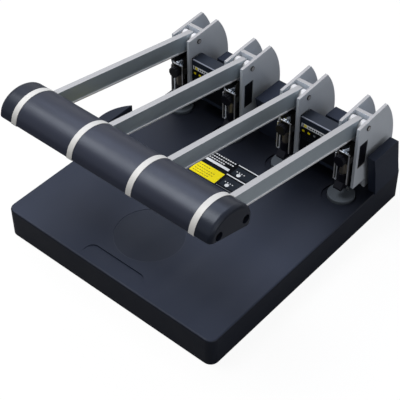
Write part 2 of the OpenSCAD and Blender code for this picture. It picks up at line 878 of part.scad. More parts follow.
// An end cap with a rounded outer edge and two deep screw holes
module end_cap() {
    x0 = heads[3] + band_w / 2;
    x1 = handle_end;
    color([0.2, 0.2, 0.24])
        on_handle()
            difference() {
                hull()
                    for (a = [0:22.5:90]) {
                        back = cap_round * (1 - sin(a));
                        side = cap_round * (1 - cos(a));
                        under = cap_under * (1 - cos(a));
                        side_plate((x0 + x1 - back) / 2, x1 - back - x0,
                                   grip_outline(band_proud + side, band_proud + under));
                    }
                rod_holes(x0 - past, rod_end + run, rod_d + 2 * run);
                rod_holes(x0, x1, cap_screw_d + 0.4);
                rod_holes(screw_seat, x1 + past, cap_head_d + 2 * play);
            }
}
module end_cap_right() { end_cap(); }
module end_cap_left() { mirror([1, 0, 0]) end_cap(); }

module tie_rods() {
    color([0.6, 0.6, 0.62])
        on_handle()
            difference() {
                rod_holes(-rod_end, rod_end, rod_d);
                rod_holes(rod_end - 14, rod_end + past, cap_screw_d + 2 * run);
                rod_holes(-rod_end - past, -rod_end + 14, cap_screw_d + 2 * run);
            }
}

module cap_screws() {
    color([0.1, 0.1, 0.11])
        for (m = [0, 1])
            mirror([m, 0, 0])
                on_handle()
                    difference() {
                        union() {
                            rod_holes(rod_end - 10, screw_seat + 0.1, cap_screw_d);
                            rod_holes(screw_seat, screw_seat + cap_screw_d, cap_head_d);
                        }
                        for (p = rods)
                            translate([screw_seat + cap_screw_d / 2, p[0], p[1]])
                                rotate([0, 90, 0])
                                    cylinder(d = cap_head_d / 2, h = cap_screw_d, $fn = 6);
                    }
}

// The sliding carriage: a block between the plates, a front plate and two strips beside it
bracket_t = 1.4;
strip_t = 1.3;
strip_out = inner_w / 2 - 2 * play;
strip_in = strip_out - strip_t;
bracket_y = punch_y - barrel_d / 2 - bracket_t;
tab_w = barrel_d / 2;
knob_shank_d = 4;
module carriage(i) {
    x = heads[i - 1];
    color([0.72, 0.73, 0.74])
        difference() {
            union() {
                span([x - inner_w / 2 + shield_t + 2 * play, front_y + 1, block_z],
                     [x + inner_w / 2 - shield_t - 2 * play, guide_back - 1, block_top]);
                span([x - strip_out, bracket_y, block_z], [x + strip_out, front_y + 2, block_top]);
                span([x - tab_w, bracket_y, block_z],
                     [x + strip_out, bracket_y + bracket_t, block_top + bracket_h]);
                for (mid = [x - strip_in - strip_t / 2, x + strip_in + strip_t / 2])
                    span([mid - strip_t / 2, bracket_y, block_z - strip_l],
                         [mid + strip_t / 2, bracket_y + strip_w, block_top]);
            }
            bar_z(x, punch_y, block_z - past, barrel_top, barrel_d + 2 * run);
            span([x - chip_w / 2, punch_y, block_z + 1], [x + chip_w / 2, guide_back, barrel_top]);
            bar_z(x, punch_y, barrel_top - past, block_top + past, bolt_d + 2 * run);
            translate([x, punch_y, knob_z])
                rotate([90, 0, 0])
                    cylinder(d = knob_shank_d + 2 * run, h = barrel_d);
        }
}

// The hollow blade with its barrel: the chips go up the bore and out at the back
module hollow_blade(i) {
    x = heads[i - 1];
    bore_r = blade_d / 2 - blade_wall;
    color([0.74, 0.71, 0.66])
        difference() {
            translate([x, punch_y, 0])
                rotate_extrude()
                    polygon([
                        [bore_r, tip_z],
                        [blade_d / 2, tip_z + 2 * blade_wall],
                        [blade_d / 2, guide_top - play],
                        [barrel_d / 2, guide_top - play],
                        [barrel_d / 2, barrel_top - run],
                        [0, barrel_top - run],
                        [0, barrel_top - 2],
                        [bore_r, barrel_top - 2],
                    ]);
            span([x - chip_w / 2, punch_y, block_z + 1],
                 [x + chip_w / 2, punch_y + barrel_d, barrel_top - 2]);
        }
}

// The knob that holds the blade, screwed in from the front, with a grooved rim
groove_d = 2.4;
module release_knob(i) {
    x = heads[i - 1];
    color([0.06, 0.06, 0.065])
        difference() {
            union() {
                translate([x, bracket_y - play, knob_z])
                    rotate([90, 0, 0])
                        cylinder(d = knob_d, h = knob_l);
                translate([x, bracket_y + bracket_t - run, knob_z])
                    rotate([90, 0, 0])
                        cylinder(d = knob_shank_d, h = bracket_t + play + past);
            }
            for (a = [0:30:330])
                translate([x, bracket_y - play + past, knob_z])
                    rotate([90, a, 0])
                        translate([knob_d / 2 + groove_d / 4, 0, 0])
                            cylinder(d = groove_d, h = knob_l + 2 * past, $fn = 16);
        }
}

// The bolt that the cam presses on, with its lock nut
module pusher_bolt(i) {
    color([0.6, 0.65, 0.7])
        translate([heads[i - 1], punch_y, 0]) {
            translate([0, 0, barrel_top + run])
                cylinder(d = bolt_d, h = bolt_top - barrel_top - 1);
            translate([0, 0, block_top])
                cylinder(d = nut_d, h = nut_top - block_top - 0.2, $fn = 6);
            translate([0, 0, nut_top + bolt_rise])
                cylinder(d = nut_d, h = bolt_t, $fn = 6);
        }
}

// One return spring behind each blade: an unbroken tube of curls between guide and carriage
spring_y = front_y + 2 + play + spring_d / 2;
spring_z0 = guide_top + play + spring_wire / 2;
spring_z1 = block_z - play - spring_wire / 2;
ring_sides = 6;
rings = 8 * spring_turns;
function spring_mid(k) =
    let (a = 360 * k / 8, r = (spring_d - spring_wire) / 2)
        [r * cos(a), r * sin(a), spring_z0 + (spring_z1 - spring_z0) * k / rings];
function spring_ring(k) =
    let (a = 360 * k / 8, m = spring_mid(k))
        [for (s = [0:ring_sides - 1])
            let (b = 360 * s / ring_sides, o = spring_wire / 2)
                m + [o * cos(b) * cos(a), o * cos(b) * sin(a), o * sin(b)]];
spring_pts = [for (k = [0:rings]) each spring_ring(k)];
spring_faces = concat(
    [for (k = [0:rings - 1], s = [0:ring_sides - 1])
        let (a = k * ring_sides + s, b = k * ring_sides + (s + 1) % ring_sides)
            each [[a, a + ring_sides, b], [b, a + ring_sides, b + ring_sides]]],
    [for (s = [1:ring_sides - 2]) [0, s, s + 1]],
    [for (s = [1:ring_sides - 2])
        [rings * ring_sides, rings * ring_sides + s + 1, rings * ring_sides + s]]
);
spring_gap = min([for (i = [0:rings - 6], j = [i + 6:rings])
    norm(spring_mid(i) - spring_mid(j))]) - spring_wire;
echo(spring_least_gap = spring_gap);

module return_spring(i) {
    color([0.5, 0.5, 0.52])
        translate([heads[i - 1] - spring_x, spring_y, 0])
            polyhedron(spring_pts, spring_faces);
}

base_cover();
bottom_plate();
rubber_feet();
chassis_bar();
deck_panel();
rear_housing();
chip_box_left();
chip_box_right();
side_guide();
guide_bar();
for (i = [1:4]) {
    cutting_disc(i);
    head_frame(i);
    lever(i);
    band(i);
    carriage(i);
    hollow_blade(i);
    release_knob(i);
    pusher_bolt(i);
    return_spring(i);
}
frame_screws();
pivot_pins();
pin_clips();
pivot_spacers();
blade_guides();
paper_stops();
pusher_cams();
grip_left();
grip_middle();
grip_right();
end_cap_left();
end_cap_right();
tie_rods();
cap_screws();
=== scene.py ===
import math

import bmesh
import bpy
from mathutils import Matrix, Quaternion, Vector


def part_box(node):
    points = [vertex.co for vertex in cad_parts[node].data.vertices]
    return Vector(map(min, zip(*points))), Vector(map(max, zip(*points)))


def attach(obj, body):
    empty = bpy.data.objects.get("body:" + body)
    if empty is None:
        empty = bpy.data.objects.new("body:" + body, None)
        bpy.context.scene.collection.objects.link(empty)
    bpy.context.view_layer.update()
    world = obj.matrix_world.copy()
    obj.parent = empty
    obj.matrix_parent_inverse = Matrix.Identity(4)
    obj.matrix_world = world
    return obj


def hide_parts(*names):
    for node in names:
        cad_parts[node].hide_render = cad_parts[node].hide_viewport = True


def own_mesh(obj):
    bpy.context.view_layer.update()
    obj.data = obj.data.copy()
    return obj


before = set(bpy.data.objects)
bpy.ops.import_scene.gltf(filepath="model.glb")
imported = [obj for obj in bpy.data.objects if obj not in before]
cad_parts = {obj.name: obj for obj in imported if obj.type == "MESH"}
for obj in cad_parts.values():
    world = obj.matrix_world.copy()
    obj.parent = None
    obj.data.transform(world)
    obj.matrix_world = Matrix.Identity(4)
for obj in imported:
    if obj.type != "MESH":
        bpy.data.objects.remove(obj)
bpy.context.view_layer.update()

MM = 0.001
HEADS = range(1, 5)
SIDES = ("left", "right")

# The camera stands in front on the right and looks down on the punch
CAM_AZIMUTH = 41.08
CAM_ELEVATION = 44.25
CAM_ROLL = -0.47
CAM_TARGET = Vector((20.9, -34.07, 60)) * MM
CAM_DISTANCE = 1272.26 * MM
CAM_LENS = 104.94
CAM_SENSOR = 36.0
CAM_CLIP = (0.05, 20)


def direction(azimuth, elevation):
    """The unit vector from the punch towards a camera or lamp at those angles."""
    a, e = math.radians(azimuth), math.radians(elevation)
    return Vector((math.sin(a) * math.cos(e), -math.cos(a) * math.cos(e), math.sin(e)))


def rgb(red, green, blue):
    """A colour given as 0 to 255 on the screen, as linear light."""
    def linear(c):
        c /= 255
        return c / 12.92 if c <= 0.04045 else ((c + 0.055) / 1.055) ** 2.4
    return (linear(red), linear(green), linear(blue), 1.0)


# Materials

# Stretches of a noise: none, along one axis as brushed metal has it, and as hands rub plastic
EVEN = (1, 1, 1)
ALONG_X = (0.06, 1, 1)
ALONG_Y = (1, 0.06, 1)
ALONG_Z = (1, 1, 0.06)
RUBBED = (1, 0.35, 1)

# Scales of the noises, in waves per metre
PLASTIC_CLOUDS = 9
PLASTIC_GLOSS = 34
PLASTIC_WAVES = 60
PLASTIC_GRAIN = 1400
METAL_CLOUDS = 14
METAL_GLOSS = 175
BRIGHT_GLOSS = 170
METAL_GRAIN = 700

# How far the gloss strays to both sides of its mean
PLASTIC_SPREAD = 0.05
METAL_SPREAD = 0.07

# A cool tint of the sheen on plastic, which the photograph shows
SHEEN_TINT = (0.82, 0.89, 1.0, 1.0)

# The upright part of the normal at which a surface starts to count as a top, and fully is one
TOPS = (0.6, 0.9)

# The round mark on the deck, and where painted shade darkens the deck towards the heads
MARK_R = 40 * MM
MARK_Y = -93.5 * MM
MARK_LINE = 0.9 * MM
MARK_SOFT = 0.3 * MM
SHADE_FROM = -30 * MM
SHADE_TO = 95 * MM

# A lever's slope in degrees, the pin that it turns on, and the painted highlight along its
# bottom edge
LEVER_SLOPE = 11.2
LEVER_PIN_Y = 112.3 * MM
LEVER_HIGHLIGHT_RIM = 1.9 * MM
LEVER_TOP_ROUGH = 0.65

# Widths of the parts with painted highlights: a carriage's front strips and top edge, and a chip
# box's lid edge
STRIP_T = 1.3 * MM
STRIP_FRONT_HIGHLIGHT = 0.5 * MM
BRACKET_TOP_HIGHLIGHT = 0.9 * MM
LID_HIGHLIGHT_WIDTH = 1.1 * MM

# How far out a pin's head has its painted highlight, as a share of its height, with painted
# shade on the rim beyond, and how soft a rim's edge is
PIN_HIGHLIGHT_SHARE = 0.36
RIM_SOFT = 0.2 * MM

# The colour sockets of a mix node, which all have the same names as its number sockets
MIX_FIRST, MIX_SECOND, MIX_RESULT = 6, 7, 2


class Finish:
    """A procedural material, made socket by socket."""

    def __init__(self, name):
        self.mat = bpy.data.materials.new(name)
        self.mat.use_nodes = True
        self.tree = self.mat.node_tree
        self.shader = self.tree.nodes["Principled BSDF"]
        place = self.node("ShaderNodeTexCoord")
        self.coords, self.normal = place.outputs["Object"], place.outputs["Normal"]

    def node(self, kind, **settings):
        made = self.tree.nodes.new(kind)
        for key, value in settings.items():
            setattr(made, key, value)
        return made

    def link(self, output, socket):
        self.tree.links.new(output, socket)

    def noise(self, scale, detail, stretch=EVEN):
        place = self.node("ShaderNodeMapping")
        place.inputs["Scale"].default_value = stretch
        self.link(self.coords, place.inputs["Vector"])
        made = self.node("ShaderNodeTexNoise")
        made.inputs["Scale"].default_value = scale
        made.inputs["Detail"].default_value = detail
        self.link(place.outputs["Vector"], made.inputs["Vector"])
        return made.outputs["Fac"]

    def between(self, value, low, high, out_low=0, out_high=1):
        """The value's place between low and high, between the two results."""
        made = self.node("ShaderNodeMapRange")
        for socket, number in zip(("From Min", "From Max", "To Min", "To Max"),
                                  (low, high, out_low, out_high)):
            made.inputs[socket].default_value = number
        self.link(value, made.inputs["Value"])
        return made.outputs["Result"]

    def maths(self, operation, *values):
        made = self.node("ShaderNodeMath", operation=operation)
        for socket, value in zip(made.inputs, values):
            if isinstance(value, (int, float)):
                socket.default_value = value
            else:
                self.link(value, socket)
        return made.outputs[0]

    def inverse(self, value):
        return self.maths("SUBTRACT", 1.0, value)

    def distance(self, first, second):
        """The length of a step with those two parts."""
        square = self.maths("MULTIPLY", second, second)
        return self.maths("SQRT", self.maths("MULTIPLY_ADD", first, first, square))

    def part(self, vector, letter):
        """One of a vector's three numbers."""
        split = self.node("ShaderNodeSeparateXYZ")
        self.link(vector, split.inputs[0])
        return split.outputs[letter]

    def axis(self, letter):
        """One of the shaded point's own coordinates, in metres."""
        return self.part(self.coords, letter)

    def upward(self):
        """1 where the surface faces up, 0 on its sides."""
        return self.between(self.part(self.normal, "Z"), *TOPS)

    def above(self, value, limit, soft=0.15 * MM):
        """1 where the value is over the limit, 0 below it, with a soft step."""
        return self.between(value, limit - soft, limit + soft)

    def mix(self, factor, first, second):
        made = self.node("ShaderNodeMix", data_type="RGBA")
        self.link(factor, made.inputs["Factor"])
        for socket, colour in ((MIX_FIRST, first), (MIX_SECOND, second)):
            if isinstance(colour, tuple):
                made.inputs[socket].default_value = colour
            else:
                self.link(colour, made.inputs[socket])
        return made.outputs[MIX_RESULT]

    def clouds(self, dark, light, scale=PLASTIC_CLOUDS, stretch=EVEN):
        """A colour that drifts softly between two close shades."""
        return self.mix(self.between(self.noise(scale, 4, stretch), 0.3, 0.7), dark, light)

    def plastic_gloss(self, rough, spread=PLASTIC_SPREAD, stretch=RUBBED):
        """The uneven roughness of plastic that hands have touched."""
        marks = self.noise(PLASTIC_GLOSS, 5, stretch)
        return self.between(marks, 0.3, 0.7, rough - spread, rough + spread)

    def metal_gloss(self, low, high, stretch=EVEN, scale=METAL_GLOSS, detail=4):
        """The uneven roughness of metal."""
        return self.between(self.noise(scale, detail, stretch), 0.25, 0.75, low, high)

    def set(self, **sockets):
        for name, value in sockets.items():
            self.shader.inputs[name.replace("_", " ")].default_value = value

    def colour(self, value):
        self.link(value, self.shader.inputs["Base Color"])

    def roughness(self, value):
        self.link(value, self.shader.inputs["Roughness"])

    def bump(self, *layers):
        """Each layer is a height and its depth in millimetres."""
        normal = None
        for height, depth in layers:
            made = self.node("ShaderNodeBump")
            made.inputs["Strength"].default_value = 1.0
            made.inputs["Distance"].default_value = depth * MM
            self.link(height, made.inputs["Height"])
            if normal is not None:
                self.link(normal, made.inputs["Normal"])
            normal = made.outputs["Normal"]
        self.link(normal, self.shader.inputs["Normal"])

    def moulded(self, depth, grain=PLASTIC_GRAIN):
        """The fine grain and the faint waves of moulded plastic."""
        self.bump((self.noise(grain, 2), depth), (self.noise(PLASTIC_WAVES, 2), depth))


def plastic(name, dark, light, rough, grain=PLASTIC_GRAIN, depth=0.012, specular=0.08):
    """Moulded plastic: a fine spark-eroded grain, faint clouds and handling marks."""
    f = Finish(name)
    f.colour(f.clouds(dark, light))
    f.roughness(f.plastic_gloss(rough))
    f.moulded(depth, grain)
    f.set(Specular_IOR_Level=specular, Specular_Tint=SHEEN_TINT)
    return f.mat


def metal(name, dark, light, rough, brushed=EVEN, metallic=1.0):
    """Sheet or bar metal: brushed or blasted, with faint clouds in its colour and gloss."""
    f = Finish(name)
    f.colour(f.clouds(dark, light, METAL_CLOUDS, brushed))
    f.roughness(f.metal_gloss(rough - METAL_SPREAD, rough + METAL_SPREAD, brushed))
    f.bump((f.noise(METAL_GRAIN, 3, brushed), 0.006))
    f.set(Metallic=metallic)
    return f.mat


def deck_finish():
    """The deck's plastic: outlined and darker in the round mark, with painted shade towards the
    heads and on its sides.
    """
    f = Finish("deck_plastic")
    y = f.axis("Y")
    radius = f.distance(f.maths("SUBTRACT", y, MARK_Y), f.axis("X"))
    outside = f.above(radius, MARK_R, MARK_SOFT)
    near_edge = f.above(radius, MARK_R - MARK_LINE, MARK_SOFT)
    ring = f.maths("MULTIPLY", near_edge, f.inverse(outside))
    front = f.clouds(rgb(31, 37, 51), rgb(37, 43, 58))
    # Painted shade: the deck's colour darkens from its front towards the heads
    plain = f.mix(f.between(y, SHADE_FROM, SHADE_TO), front, rgb(10, 13, 21))
    marked = f.mix(outside, rgb(28, 34, 47), plain)
    top = f.mix(ring, marked, rgb(48, 53, 66))
    # Painted shade: the deck's sides take a darker colour than its top
    f.colour(f.mix(f.upward(), rgb(14, 18, 28), top))
    f.roughness(f.plastic_gloss(0.45))
    f.moulded(0.02)
    f.set(Specular_IOR_Level=0.14)
    return f.mat


def chip_finish():
    """The chip boxes' plastic, with a painted highlight along the lid's front top edge."""
    f = Finish("chip_plastic")
    low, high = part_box("chip_box_left")
    # Painted highlight: a light band along the lid's front top edge
    front = f.inverse(f.above(f.axis("Y"), low.y + LID_HIGHLIGHT_WIDTH))
    edge = f.maths("MULTIPLY", front, f.above(f.axis("Z"), high.z - LID_HIGHLIGHT_WIDTH))
    body = f.clouds(rgb(22, 28, 38), rgb(28, 34, 45))
    f.colour(f.mix(edge, body, rgb(120, 124, 136)))
    f.roughness(f.plastic_gloss(0.36, 0.06, EVEN))
    f.bump((f.noise(PLASTIC_GRAIN, 2), 0.012))
    f.set(Specular_IOR_Level=0.14)
    return f.mat


def frame_finish():
    """The heads' satin metal, with the plates' top faces painted darker as painted shade."""
    f = Finish("frame_metal")
    sides = f.clouds(rgb(184, 190, 198), rgb(194, 200, 208), METAL_CLOUDS, ALONG_Z)
    # Painted shade: upward faces take a darker grey than the sides
    f.colour(f.mix(f.upward(), sides, rgb(146, 145, 145)))
    f.roughness(f.metal_gloss(0.4, 0.5, ALONG_Z))
    f.bump((f.noise(METAL_GRAIN, 3, ALONG_Z), 0.006))
    f.set(Metallic=0.3)
    return f.mat


def lever_finish():
    """Satin lever steel with a painted highlight along its channel's bottom edge, and a rougher
    top painted duller as painted shade.
    """
    f = Finish("lever_metal")
    low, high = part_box("lever_1")
    slope = math.tan(math.radians(LEVER_SLOPE))
    rise = f.maths("MULTIPLY_ADD", f.axis("Y"), slope, f.axis("Z"))
    above_highlight_rim = f.above(rise, low.z + slope * LEVER_PIN_Y + LEVER_HIGHLIGHT_RIM, RIM_SOFT)
    top = f.upward()
    sides = f.clouds(rgb(158, 169, 177), rgb(172, 182, 189), METAL_CLOUDS, ALONG_Y)
    # Painted shade: the tops take a duller grey than the sides
    body = f.mix(top, sides, rgb(157, 157, 158))
    # Painted highlight: the channel's bottom edge is near white
    f.colour(f.mix(above_highlight_rim, rgb(226, 226, 228), body))
    dull = f.maths("MULTIPLY", top, LEVER_TOP_ROUGH)
    f.roughness(f.maths("MAXIMUM", f.metal_gloss(0.29, 0.43, ALONG_Y), dull))
    f.bump((f.noise(METAL_GRAIN, 3, ALONG_Y), 0.006))
    f.set(Metallic=0.6)
    return f.mat


def pin_finish():
    """The pins' heads: a painted highlight in the middle and painted shade towards the rim."""
    f = Finish("pin_steel")
    low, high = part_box("pivot_pins")
    middle = (low + high) / 2
    radius = f.distance(f.maths("SUBTRACT", f.axis("Y"), middle.y),
                        f.maths("SUBTRACT", f.axis("Z"), middle.z))
    rim = f.above(radius, (high.z - low.z) * PIN_HIGHLIGHT_SHARE, RIM_SOFT)
    # Painted highlight in the middle and painted shade on the rim, as a lit dome shows them
    f.colour(f.mix(rim, rgb(186, 184, 184), rgb(52, 52, 54)))
    f.roughness(f.metal_gloss(0.3, 0.42, scale=BRIGHT_GLOSS, detail=3))
    f.set(Metallic=0.6)
    return f.mat


def bracket_finish():
    """Carriage plates painted dark as painted shade, with painted highlights on the front edges
    and the top edge, at every head.
    """
    f = Finish("bracket_steel")
    (low, high), (second, _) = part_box("carriage_1"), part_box("carriage_2")
    pitch = second.x - low.x
    turned = f.maths("MODULO", f.maths("ADD", f.axis("X"), 2 * pitch), pitch)
    off_axis = f.maths("ABSOLUTE", f.maths("SUBTRACT", turned, pitch / 2))
    strip = f.above(off_axis, (high.x - low.x) / 2 - STRIP_T)
    front = f.inverse(f.above(f.axis("Y"), low.y + STRIP_FRONT_HIGHLIGHT))
    edge = f.above(f.axis("Z"), high.z - BRACKET_TOP_HIGHLIGHT)
    # Painted highlights on the strips' front edges and the top edge, painted shade on the rest
    bright = f.maths("MAXIMUM", f.maths("MULTIPLY", strip, front), edge)
    f.colour(f.mix(bright, rgb(44, 42, 40), rgb(206, 206, 208)))
    f.roughness(f.metal_gloss(0.3, 0.42, ALONG_Z, BRIGHT_GLOSS))
    f.bump((f.noise(METAL_GRAIN, 3, ALONG_Z), 0.004))
    f.set(Metallic=0.85)
    return f.mat


deck_plastic = deck_finish()
chip_plastic = chip_finish()
housing_plastic = plastic("housing_plastic", rgb(30, 35, 47), rgb(36, 41, 54), 0.42, depth=0.016)
grip_plastic = plastic("grip_plastic", rgb(25, 28, 40), rgb(31, 34, 47), 0.38,
                       depth=0.018, specular=0.27)
cap_plastic = plastic("cap_plastic", rgb(19, 23, 33), rgb(25, 29, 41), 0.32, specular=0.2)
black_plastic = plastic("black_plastic", rgb(10, 10, 15), rgb(14, 14, 20), 0.34, specular=0.12)
disc_plastic = plastic("disc_plastic", rgb(62, 67, 73), rgb(70, 75, 81), 0.5)
guide_plastic = plastic("guide_plastic", rgb(30, 34, 43), rgb(36, 40, 50), 0.38)
white_plastic = plastic("white_plastic", rgb(196, 195, 196), rgb(210, 209, 210), 0.3, grain=900)
foot_rubber = plastic("foot_rubber", rgb(22, 22, 23), rgb(30, 30, 31), 0.75,
                      grain=500, depth=0.05)

frame_metal = frame_finish()
lever_metal = lever_finish()
bracket_steel = bracket_finish()
pin_steel = pin_finish()
band_metal = metal("band_metal", rgb(184, 183, 180), rgb(195, 194, 191), 0.55, metallic=0.05)
steel = metal("steel", rgb(176, 178, 180), rgb(196, 197, 198), 0.28)
zinc = metal("zinc", rgb(168, 178, 192), rgb(190, 198, 208), 0.26)
blade_steel = metal("blade_steel", rgb(112, 106, 98), rgb(136, 129, 118), 0.36, ALONG_Z)
plate_steel = metal("plate_steel", rgb(140, 142, 146), rgb(160, 162, 165), 0.42, ALONG_X)
black_steel = metal("black_steel", rgb(30, 30, 33), rgb(42, 42, 46), 0.35)
wire_steel = metal("wire_steel", rgb(120, 122, 126), rgb(146, 148, 152), 0.3)


def label(name, dark, light, rough=0.4):
    """A printed sheet's smooth plastic."""
    return plastic(f"label_{name}", dark, light, rough, depth=0.003)


panel_black = plastic("panel_black", rgb(6, 7, 10), rgb(10, 11, 14), 0.4,
                      depth=0.004, specular=0.06)
label_silver = label("silver", rgb(206, 210, 214), rgb(216, 219, 223), 0.35)
label_yellow = label("yellow", rgb(224, 206, 12), rgb(230, 213, 18))
label_white = label("white", rgb(206, 208, 210), rgb(216, 218, 220))
label_grey = label("grey", rgb(104, 107, 112), rgb(116, 118, 122))
label_slate = label("slate", rgb(26, 31, 38), rgb(32, 37, 44))
label_olive = label("olive", rgb(120, 104, 20), rgb(132, 114, 24))

FINISHES = {
    "base_cover": deck_plastic,
    "bottom_plate": plate_steel,
    "rubber_feet": foot_rubber,
    "chassis_bar": plate_steel,
    "deck_panel": panel_black,
    "rear_housing": housing_plastic,
    "chip_box": chip_plastic,
    "side_guide": guide_plastic,
    "guide_bar": steel,
    "cutting_disc": disc_plastic,
    "head_frame": frame_metal,
    "frame_screws": black_steel,
    "pivot_pins": pin_steel,
    "pin_clips": black_steel,
    "pivot_spacers": white_plastic,
    "blade_guides": black_plastic,
    "paper_stops": steel,
    "lever": lever_metal,
    # The pusher cams take dark steel, whose darkness also stands in as painted shade under the
    # levers
    "pusher_cams": black_steel,
    "band": band_metal,
    "grip": grip_plastic,
    "end_cap": cap_plastic,
    "tie_rods": steel,
    "cap_screws": black_steel,
    "carriage": bracket_steel,
    "hollow_blade": blade_steel,
    "release_knob": black_plastic,
    "pusher_bolt": zinc,
    "return_spring": wire_steel,
}

# Widths of the small rounds along the CAD pieces' edges, in millimetres
EDGES = {
    "base_cover": 0.5, "rear_housing": 2.0, "chip_box": 0.7, "side_guide": 0.8,
    "head_frame": 0.35, "lever": 0.35, "grip": 0.25, "end_cap": 0.25, "band": 0.3,
    "cutting_disc": 0.3, "blade_guides": 0.3, "carriage": 0.2, "release_knob": 0.4,
    "bottom_plate": 0.4, "chassis_bar": 0.5, "guide_bar": 0.4, "deck_panel": 0.15,
    "pusher_bolt": 0.25, "rubber_feet": 0.3, "pivot_spacers": 0.4, "frame_screws": 0.3,
    "cap_screws": 0.2, "pivot_pins": 0.6,
}

# The distance at which a CAD mesh's corners are one, and the angles in degrees up to which
# neighbours are one flat face and from which their edge is rounded
WELD_GAP = 0.002 * MM
FLAT_ANGLE = 0.6
EDGE_ANGLE = 28


def named(table, node):
    """The table's entry for a node, which may be one of a numbered or sided set."""
    for key in (node, node.rsplit("_", 1)[0]):
        if key in table:
            return table[key]


def dress(node, obj):
    """Gives a CAD node its material, softened edges and even shading."""
    obj.data.materials.clear()
    obj.data.materials.append(named(FINISHES, node))
    width = named(EDGES, node)
    if width is None:
        return
    weld = obj.modifiers.new("weld", "WELD")
    weld.merge_threshold = WELD_GAP
    flat = obj.modifiers.new("flat", "DECIMATE")
    flat.decimate_type = "DISSOLVE"
    flat.angle_limit = math.radians(FLAT_ANGLE)
    bevel = obj.modifiers.new("edge", "BEVEL")
    bevel.width = width * MM
    bevel.segments = 2
    bevel.limit_method = "ANGLE"
    bevel.angle_limit = math.radians(EDGE_ANGLE)
    bevel.use_clamp_overlap = True
    bevel.harden_normals = True
    obj.data.shade_smooth()
    even = obj.modifiers.new("even", "WEIGHTED_NORMAL")
    even.weight = 100


for node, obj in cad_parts.items():
    dress(node, obj)


# Pieces that stand on the CAD nodes or in their place

def piece(name, mesh_maker, material, body):
    """A new mesh that rides a body, or none for the floor, and takes its material."""
    mesh = bpy.data.meshes.new(name)
    bm = bmesh.new()
    mesh_maker(bm)
    bmesh.ops.recalc_face_normals(bm, faces=bm.faces)
    bm.to_mesh(mesh)
    bm.free()
    mesh.materials.append(material)
    obj = bpy.data.objects.new(name, mesh)
    bpy.context.scene.collection.objects.link(obj)
    if body:
        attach(obj, body)
    return obj


def add_plate(bm, low, high, round_by):
    """A thin plate between two corners, with small rounds on all its edges."""
    made = bmesh.ops.create_cube(bm, size=1.0)
    size, middle = high - low, (high + low) / 2
    for v in made["verts"]:
        v.co = Vector(v.co[i] * size[i] + middle[i] for i in range(3))
    edges = {e for v in made["verts"] for e in v.link_edges}
    bmesh.ops.bevel(bm, geom=list(edges), offset=round_by, segments=2, affect="EDGES")


DISC_SIDES = 24
DISC_TAPER = 0.94


def add_disc(bm, middle, radius, height):
    """A flat round plate, a little narrower at its top."""
    made = bmesh.ops.create_cone(bm, cap_ends=True, segments=DISC_SIDES, radius1=radius,
                                 radius2=radius * DISC_TAPER, depth=height)
    bmesh.ops.translate(bm, verts=made["verts"], vec=middle)


def add_tube(bm, path, radius, sides=10):
    """A closed tube of round wire along a path of points."""
    rings = []
    for i, p in enumerate(path):
        ahead = (path[min(i + 1, len(path) - 1)] - path[max(i - 1, 0)]).normalized()
        out = ahead.cross(Vector((0, 0, 1))).normalized()
        up = out.cross(ahead)
        turn = [2 * math.pi * k / sides for k in range(sides)]
        rings.append([bm.verts.new(p + radius * (out * math.cos(a) + up * math.sin(a)))
                      for a in turn])
    for first, second in zip(rings, rings[1:]):
        for k in range(sides):
            n = (k + 1) % sides
            bm.faces.new((first[k], first[n], second[n], second[k]))
    bm.faces.new(rings[0])
    bm.faces.new(rings[-1])


SPRING_WIRE = 1.2 * MM
SPRING_CURLS = 5
SPRING_STEPS = 28


def return_spring(number):
    """The return spring as a coil of round wire, which takes the CAD spring's place."""
    node, joint = f"return_spring_{number}", f"punch_slide_{number}"
    low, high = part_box(node)
    radius = (high.x - low.x) / 2 - SPRING_WIRE / 2
    middle = (low + high) / 2
    bottom, top = low.z + SPRING_WIRE / 2, high.z - SPRING_WIRE / 2
    steps = SPRING_CURLS * SPRING_STEPS
    path = []
    for i in range(steps + 1):
        share = i / steps
        a = 2 * math.pi * SPRING_CURLS * share
        path.append(Vector((middle.x + radius * math.cos(a), middle.y + radius * math.sin(a),
                            bottom + (top - bottom) * share)))
    obj = piece(f"spring_wire_{number}", lambda bm: add_tube(bm, path, SPRING_WIRE / 2),
                wire_steel, "base")
    obj.data.shade_smooth()
    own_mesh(obj)
    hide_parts(node)


for number in HEADS:
    return_spring(number)


# Plain blocks on the deck panel, as [name, material, left, right, front, back] in millimetres
PANEL_BLOCKS = [
    ("field", label_yellow, -36.8, 1.0, 13.3, 32.4),
    ("bar_middle", label_white, -35.6, 0.2, 38.8, 42.6),
    ("bar_back", label_white, 3.0, 32.8, 54.4, 55.7),
    ("bar_right", label_white, 2.0, 29.5, 34.1, 35.5),
    ("bar_front", label_grey, 3.2, 25.0, 13.6, 14.3),
    ("sheet_back", label_slate, 5.0, 31.0, 38.0, 52.0),
    ("sheet_front", label_slate, 5.0, 28.0, 16.6, 31.6),
]
# Rows of plain dashes on the panel and its yellow field, as [left, right, front]
PANEL_ROWS = [(-33, 1, 53.2), (-33, 1.5, 48.6), (-33, -8, 44.6)]
FIELD_ROWS = [(-34, -16, 28.4), (-34, -4, 24.0), (-34, -4, 20.0), (-34, -8, 16.2)]
PANEL_DASH_DEPTH = 1.6
FIELD_DASH_DEPTH = 1.0
DASH = 2.3
DASH_GAP = 1.1
# The two sheets' rows of four round holes, as [middle, row], each with a spot in front of it
SHEET_HOLES = [(14, 45), (14, 24)]
HOLE_PITCH = 3.4
HOLE_R = 0.8
SPOT_R = 2.7
SPOT_AHEAD = 4
# Half a block's thickness, and the rounds on the blocks' and the dashes' edges
PANEL_LAYER = 0.12 * MM
BLOCK_ROUND = 0.04 * MM
DASH_ROUND = 0.03 * MM


